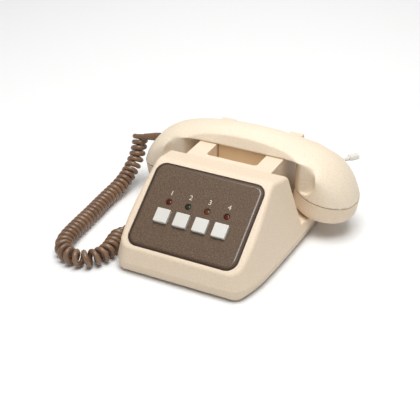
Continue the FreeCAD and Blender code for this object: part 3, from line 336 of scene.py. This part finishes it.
def relax(mesh, softness):
    """Each point moves half way to the mean of its neighbours, times its softness, round by round.
    A quarter of the moves, spread out the same way, is taken off again, so that the form keeps
    its size."""
    count = len(mesh.vertices)
    place = np.empty(count * 3)
    mesh.vertices.foreach_get("co", place)
    place = place.reshape(-1, 3)
    ends = np.empty(len(mesh.edges) * 2, dtype=np.int32)
    mesh.edges.foreach_get("vertices", ends)
    here, there = np.concatenate([ends[0::2], ends[1::2]]), np.concatenate([ends[1::2], ends[0::2]])
    neighbours = np.bincount(here, minlength=count)[:, None]

    def spread(field, share):
        """The field after all rounds of averaging."""
        for _ in range(RELAX_ROUNDS):
            sums = np.column_stack([np.bincount(here, field[there, k], count) for k in range(3)])
            field = field + share * (sums / neighbours - field)
        return field

    soft = softness(place)[:, None]
    moved = spread(place, RELAX_STEP * soft) - place
    place = place + moved - GIVE_BACK * soft * spread(moved, RELAX_STEP)
    mesh.vertices.foreach_set("co", place.ravel())
    mesh.shade_smooth()
    mesh.update()


# %% The handset's piece
handset = remeshed("handset_shell_visual", NODES["handset_shell"].data)
relax(handset.data, handset_softness)
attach(handset, "handset")
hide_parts("handset_shell")
print("handset shell", len(handset.data.polygons), "faces")


# %% [markdown]
# ## Finishes
# A finish is more than a colour: moulded plastic has a fine grain from its tool, a slightly
# uneven gloss and soft patches of shade. Images could carry these, but patterns worked out from
# object coordinates need no unwrapping and stay sharp at any size.

# %% Helpers for finishes
def new_material(name):
    """A material with its principled shader and object coordinates."""
    material = bpy.data.materials.new(name)
    material.use_nodes = True
    tree = material.node_tree
    shader = tree.nodes["Principled BSDF"]
    place = tree.nodes.new("ShaderNodeTexCoord").outputs["Object"]
    return material, tree, shader, place


def add_noise(tree, place, scale, detail=3.0, roughness=0.55):
    """Fine cloud pattern at a scale per metre."""
    node = tree.nodes.new("ShaderNodeTexNoise")
    node.inputs["Scale"].default_value = scale
    node.inputs["Detail"].default_value = detail
    node.inputs["Roughness"].default_value = roughness
    tree.links.new(place, node.inputs["Vector"])
    return node.outputs["Fac"]


def add_ramp(tree, value, stops):
    """Colour or grey chosen by a value, from (position, colour) stops."""
    node = tree.nodes.new("ShaderNodeValToRGB")
    elements = node.color_ramp.elements
    while len(elements) < len(stops):
        elements.new(0.5)
    for element, (position, colour) in zip(elements, stops):
        element.position = position
        element.color = (*colour, 1.0)
    tree.links.new(value, node.inputs["Fac"])
    return node.outputs["Color"]


def add_range(tree, value, low, high, start, end):
    """Value mapped from the span low to high onto start to end."""
    node = tree.nodes.new("ShaderNodeMapRange")
    for socket, number in zip(("From Min", "From Max", "To Min", "To Max"), (low, high, start, end)):
        node.inputs[socket].default_value = number
    tree.links.new(value, node.inputs["Value"])
    return node.outputs["Result"]


def add_bump(tree, shader, height, distance, strength=1.0):
    """Surface relief from a height pattern."""
    node = tree.nodes.new("ShaderNodeBump")
    node.inputs["Distance"].default_value = distance
    node.inputs["Strength"].default_value = strength
    tree.links.new(height, node.inputs["Height"])
    tree.links.new(node.outputs["Normal"], shader.inputs["Normal"])


# %% Colours and dressing
def linear(red, green, blue):
    """Colour as light amounts from screen values of 0 to 255."""
    values = [c / 255.0 for c in (red, green, blue)]
    return tuple(c / 12.92 if c <= 0.04045 else ((c + 0.055) / 1.055) ** 2.4 for c in values)


def dress(material, *names):
    """Give CAD nodes or new pieces a material."""
    for name in names:
        data = bpy.data.objects[name].data
        data.materials.clear()
        data.materials.append(material)


def uneven_gloss(tree, shader, pattern, rough):
    """Roughness that follows a pattern between two values."""
    low, high = rough
    gloss = add_ramp(tree, pattern, [(0.3, (low,) * 3), (0.7, (high,) * 3)])
    tree.links.new(gloss, shader.inputs["Roughness"])


# %% Moulded plastic
GLOSS_FINER = 6.0
GRAIN_STRENGTH = 0.35


def moulded(name, dark, light, rough, grain=1800.0, depth=0.00006, patch=18.0):
    """Moulded plastic: two near shades in soft patches, a fine spark-eroded grain and uneven gloss.
    Grain and patch are counts per metre, and depth is the grain's depth in metres."""
    material, tree, shader, place = new_material(name)
    shade = add_ramp(tree, add_noise(tree, place, patch, detail=4.0), [(0.35, dark), (0.65, light)])
    tree.links.new(shade, shader.inputs["Base Color"])
    uneven_gloss(tree, shader, add_noise(tree, place, patch * GLOSS_FINER, detail=5.0), rough)
    add_bump(tree, shader, add_noise(tree, place, grain, detail=2.0), depth, GRAIN_STRENGTH)
    return material


# %% [markdown]
# ## Mouldings
# The casing, its tray and the caps are a warm cream plastic, and the handset, from another mould,
# a shade paler. The tray is a shade greyer: painted shade for its band under the casing's edge, which
# faces down. The hook bar is given a tan cream: painted shade for the shade inside the cradle's recess.
# They could share one finish, but the shades tell them apart. Cream plastic shows a fine fleck all
# over. The buttons are a colder white with more gloss.
# Inside pieces are dark plastic and board green.

# %% Casing, handset and buttons
FLECK = 800.0
BUTTONS = range(1, 5)
cream = moulded("cream_plastic", linear(222, 202, 176), linear(231, 213, 190), (0.42, 0.52), patch=FLECK)
dress(cream, "upper_casing", "earpiece_cap", "mouthpiece_cap")
pale = moulded("handset_plastic", linear(229, 212, 187), linear(238, 224, 202), (0.42, 0.52), patch=FLECK)
dress(pale, "handset_shell", "handset_shell_visual")
# The tray's greyer cream is painted shade for its band under the casing's edge.
tray = moulded("cream_tray_painted_shade", linear(218, 199, 174), linear(227, 210, 187), (0.45, 0.55),
               patch=FLECK)
dress(tray, "base_tray")
# The hook bar's tan cream is painted shade: it stands in for the shade and warm bounce in the cradle's
# recess.
hook = moulded("hook_painted_shade", linear(222, 196, 160), linear(228, 204, 170), (0.4, 0.5))
dress(hook, "hook_bar")
white = moulded("button_plastic", linear(208, 205, 197), linear(214, 211, 204), (0.35, 0.45),
                depth=0.00002)
dress(white, *["button_cap_%d" % number for number in BUTTONS])
print("casing, handset, hook bar and", len(BUTTONS), "buttons dressed")

# %% Inside pieces and feet
dark = moulded("dark_plastic", linear(28, 27, 26), linear(40, 38, 36), (0.45, 0.6))
dress(dark, "switch_frame", "hook_switch", "call_sounder", "terminal_block")
board = moulded("board_laminate", linear(22, 74, 40), linear(30, 90, 50), (0.3, 0.42))
dress(board, "main_board", "lamp_board")
rubber = moulded("foot_rubber", linear(24, 24, 24), linear(34, 33, 32), (0.75, 0.9), grain=900.0)
dress(rubber, "rubber_feet")
print("inside pieces and feet dressed")

# %% [markdown]
# ## Cord finishes
# Both cords are soft plastic: the curly one brown and glossy, the line cord pale and duller. A cord
# could have its own finish, but it is moulded plastic too, so only its shades and its gloss differ.

# %% Cords, bushes and plug
brown_cord = moulded("brown_cord", linear(114, 87, 67), linear(131, 102, 79), (0.16, 0.28),
                     grain=1400.0, patch=60.0)
dress(brown_cord, "curly_cord_visual", "casing_cord_bush", "handset_cord_bush")
pale_cord = moulded("pale_cord", linear(226, 221, 210), linear(234, 230, 221), (0.45, 0.55), patch=50.0)
dress(pale_cord, "line_cord_visual", "line_cord_bush", "coil_tie")
plug = moulded("plug_plastic", linear(222, 218, 208), linear(232, 229, 221), (0.2, 0.3))
dress(plug, "line_plug")
print("cords dressed")


# %% [markdown]
# ## Metal
# Screws and speech capsules are bare metal: one colour, and a fine streak that changes the gloss.
# Scratches could be cut into the surface, but pieces this small only need the uneven gloss.

# %% Metal pieces
STREAKS = 2500.0


def metal(name, colour, rough):
    """Plain metal with a fine brushed streak."""
    material, tree, shader, place = new_material(name)
    shader.inputs["Base Color"].default_value = (*colour, 1.0)
    shader.inputs["Metallic"].default_value = 1.0
    uneven_gloss(tree, shader, add_noise(tree, place, STREAKS, detail=2.0), rough)
    return material


dress(metal("zinc_steel", linear(176, 176, 172), (0.3, 0.45)), "base_screws")
can = metal("pressed_can", linear(186, 186, 184), (0.35, 0.5))
dress(can, "receiver_capsule", "transmitter_capsule")
print("metal dressed")


# %% [markdown]
# ## Lamps
# The four signal lamps are unlit, so their lenses look deep and dark. Glass with light inside
# would be slow and no truer: a dark speckled colour under a thin clear coat is enough.

# %% Lamp lenses
LENS_DEPTH = 0.35
LENS_SPECKLE = 700.0
LENS_ROUGHNESS = 0.16
LENS_COAT = 0.1


def lamp(name, colour):
    """Unlit lamp lens: deep coloured plastic with a thin clear coat."""
    material, tree, shader, place = new_material(name)
    deep = tuple(c * LENS_DEPTH for c in colour)
    shade = add_ramp(tree, add_noise(tree, place, LENS_SPECKLE, detail=2.0), [(0.3, deep), (0.7, colour)])
    tree.links.new(shade, shader.inputs["Base Color"])
    shader.inputs["Roughness"].default_value = LENS_ROUGHNESS
    shader.inputs["Coat Weight"].default_value = LENS_COAT
    return material


red = lamp("lamp_red", linear(108, 26, 20))
dress(red, "lamp_lens_1", "lamp_lens_4")
dress(lamp("lamp_green", linear(36, 62, 40)), "lamp_lens_2")
dress(lamp("lamp_amber", linear(120, 70, 24)), "lamp_lens_3")
print("lamps dressed")

# %% [markdown]
# ## The panel
# The sloping panel is brown plastic with a fine leather grain. A polished line runs round it where
# the face turns into the bevel, and the bevel is painted darker towards its edge: painted shade for
# the shadowed gap and the steep edge round the plate. The rim could be a second piece, but it is one
# plate, so the finish itself measures how far each point lies from the panel's rounded outline.

# %% Distance from the panel's outline
PANEL_TILT = math.radians(36.5)
PANEL_CENTRE = Vector((0.0, -0.0612, 0.0544))
PANEL_HALF = (0.055, 0.0428)
PANEL_CORNER = 0.0105


def panel_edge(tree, place):
    """Length of what |p| has beyond the half sizes less the corner, with p in the panel's own plane:
    it equals the corner's radius on the outline and falls inwards."""
    turned = tree.nodes.new("ShaderNodeMapping")
    turned.inputs["Rotation"].default_value = (-PANEL_TILT, 0.0, 0.0)
    turned.inputs["Location"].default_value = -(Matrix.Rotation(-PANEL_TILT, 3, "X") @ PANEL_CENTRE)
    tree.links.new(place, turned.inputs["Vector"])
    value = turned.outputs["Vector"]
    inner = (PANEL_HALF[0] - PANEL_CORNER, PANEL_HALF[1] - PANEL_CORNER, 1.0)
    for operation, other in (("ABSOLUTE", None), ("SUBTRACT", inner), ("MAXIMUM", (0.0, 0.0, 0.0))):
        node = tree.nodes.new("ShaderNodeVectorMath")
        node.operation = operation
        if other:
            node.inputs[1].default_value = other
        tree.links.new(value, node.inputs[0])
        value = node.outputs["Vector"]
    length = tree.nodes.new("ShaderNodeVectorMath")
    length.operation = "LENGTH"
    tree.links.new(value, length.inputs[0])
    return length.outputs["Value"]


# %% The panel's finish
SPECKLE = 1300.0
SPECKLE_SHADES = [(0.32, linear(66, 52, 39)), (0.5, linear(94, 75, 58)), (0.68, linear(124, 101, 81))]
# The dark brown near the edge is painted shade for the shadowed gap and steep bevel round the plate.
RIM_SHADE_BROWN = linear(56, 43, 33)
RIM_SHADE_FROM = PANEL_CORNER - 0.0030
RIM_SHADE_TO = PANEL_CORNER - 0.0006
GLINT_FROM = PANEL_CORNER - 0.006
GLINT = [(0.30, (0.0,) * 3), (0.40, (1.0,) * 3), (0.50, (1.0,) * 3), (0.58, (0.0,) * 3)]
LEATHER_GRAIN = 1100.0
LEATHER_DEPTH = 0.00012


def panel_brown():
    """Brown panel: fine leather grain and speckle on the face, a polished line round it and painted
    shade darkening its edge."""
    material, tree, shader, place = new_material("panel_brown")
    speck = add_ramp(tree, add_noise(tree, place, SPECKLE, detail=4.0, roughness=0.7), SPECKLE_SHADES)
    edge = panel_edge(tree, place)
    # Painted shade: the speckled brown turns dark brown over the last millimetres to the edge.
    rim = tree.nodes.new("ShaderNodeMix")
    rim.data_type = "RGBA"
    darker = add_range(tree, edge, RIM_SHADE_FROM, RIM_SHADE_TO, 0.0, 1.0)
    tree.links.new(darker, rim.inputs[0])
    tree.links.new(speck, rim.inputs[6])
    rim.inputs[7].default_value = (*RIM_SHADE_BROWN, 1.0)
    tree.links.new(rim.outputs[2], shader.inputs["Base Color"])
    inside = add_range(tree, edge, GLINT_FROM, PANEL_CORNER, 0.0, 1.0)
    tree.links.new(add_ramp(tree, inside, GLINT), shader.inputs["Coat Weight"])
    shader.inputs["Coat Roughness"].default_value = 0.12
    worn = add_noise(tree, place, 90.0, detail=4.0)
    tree.links.new(add_range(tree, worn, 0.3, 0.7, 0.52, 0.6), shader.inputs["Roughness"])
    shader.inputs["Specular IOR Level"].default_value = 0.3
    add_bump(tree, shader, add_noise(tree, place, LEATHER_GRAIN), LEATHER_DEPTH, strength=0.4)
    return material


dress(panel_brown(), "front_panel")
print("panel dressed")

# %% [markdown]
# ## Printed digits
# Each lamp has a small printed digit above it. A text object gives clean outlines; it is made a
# mesh and then carried into the panel's plane, a hair above the surface.

# %% Digits 1 to 4
ink = moulded("digit_ink", linear(212, 204, 192), linear(220, 212, 201), (0.5, 0.6))
PANEL_TOP = 0.001
DIGIT_SIZE = 0.0068
DIGIT_PITCH = 0.0195
DIGIT_UP = 0.0142
DIGIT_SIDE = -0.0003
INK_LIFT = 0.00006
middle = (BUTTONS[0] + BUTTONS[-1]) / 2.0
panel_frame = Matrix.Translation(PANEL_CENTRE) @ Matrix.Rotation(PANEL_TILT, 4, "X")
for number in BUTTONS:
    text = bpy.data.curves.new("digit_%d" % number, "FONT")
    text.body = str(number)
    text.size = DIGIT_SIZE
    text.align_x = "CENTER"
    text.align_y = "CENTER"
    shape = bpy.data.objects.new("digit_text", text)
    bpy.context.scene.collection.objects.link(shape)
    mesh = mesh_of(shape)
    bpy.data.objects.remove(shape)
    across = (number - middle) * DIGIT_PITCH + DIGIT_SIDE
    mesh.transform(panel_frame @ Matrix.Translation((across, DIGIT_UP, PANEL_TOP + INK_LIFT)))
    digit = bpy.data.objects.new("digit_%d" % number, mesh)
    bpy.context.scene.collection.objects.link(digit)
    dress(ink, digit.name)
    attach(digit, "base")
print(len(BUTTONS), "digits printed")

# %% [markdown]
# ## Floor and light
# The telephone stands on plain pale paper under one large soft box, with weak ones in front of it and
# behind it and an even white room round it. A single lamp would be simpler, but its shadows are hard.
# Light from above leaves the front and the sides a shade darker than the tops, and the box's edge
# glints in the panel's right rim.

# %% Floor
FLOOR_HALF = 6.0
PAPER_DARK = (0.86, 0.86, 0.855)
PAPER_LIGHT = (0.88, 0.88, 0.875)
PAPER_CLOUDS = 400.0
PAPER_TOOTH = 900.0
corners = FLOOR_HALF * np.array([(-1, -1, 0), (1, -1, 0), (1, 1, 0), (-1, 1, 0)])
floor_mesh = bpy.data.meshes.new("floor")
floor_mesh.from_pydata(corners.tolist(), [], [(0, 1, 2, 3)])
floor = bpy.data.objects.new("floor", floor_mesh)
bpy.context.scene.collection.objects.link(floor)
floor_material, floor_tree, floor_shader, floor_place = new_material("floor_paper")
paper = add_ramp(floor_tree, add_noise(floor_tree, floor_place, PAPER_CLOUDS),
                 [(0.3, PAPER_DARK), (0.7, PAPER_LIGHT)])
floor_tree.links.new(paper, floor_shader.inputs["Base Color"])
floor_shader.inputs["Roughness"].default_value = 0.9
add_bump(floor_tree, floor_shader, add_noise(floor_tree, floor_place, PAPER_TOOTH), 0.00005, strength=0.3)
dress(floor_material, "floor")
print("floor", 2.0 * FLOOR_HALF, "m wide")


# %% Light
LIGHT_AIM = Vector((0.0, -0.02, 0.05))
ROOM_STRENGTH = 0.25


def soft_light(name, where, size, power):
    """A square soft box aimed at the telephone."""
    data = bpy.data.lights.new(name, "AREA")
    data.shape = "SQUARE"
    data.size = size
    data.energy = power
    light = bpy.data.objects.new(name, data)
    light.location = where
    light.rotation_euler = (LIGHT_AIM - light.location).to_track_quat("-Z", "Y").to_euler()
    bpy.context.scene.collection.objects.link(light)


soft_light("key", where=(0.12, -0.16, 1.5), size=1.1, power=24.5)
soft_light("front", where=(0.6, -1.2, 0.5), size=0.9, power=1.2)
soft_light("rear", where=(-0.35, 1.0, 0.95), size=0.7, power=3.0)
world = bpy.data.worlds.new("studio")
bpy.context.scene.world = world
world.use_nodes = True
room = world.node_tree.nodes["Background"]
room.inputs["Color"].default_value = (1.0, 1.0, 1.0, 1.0)
room.inputs["Strength"].default_value = ROOM_STRENGTH
print("three soft boxes and the room lit")
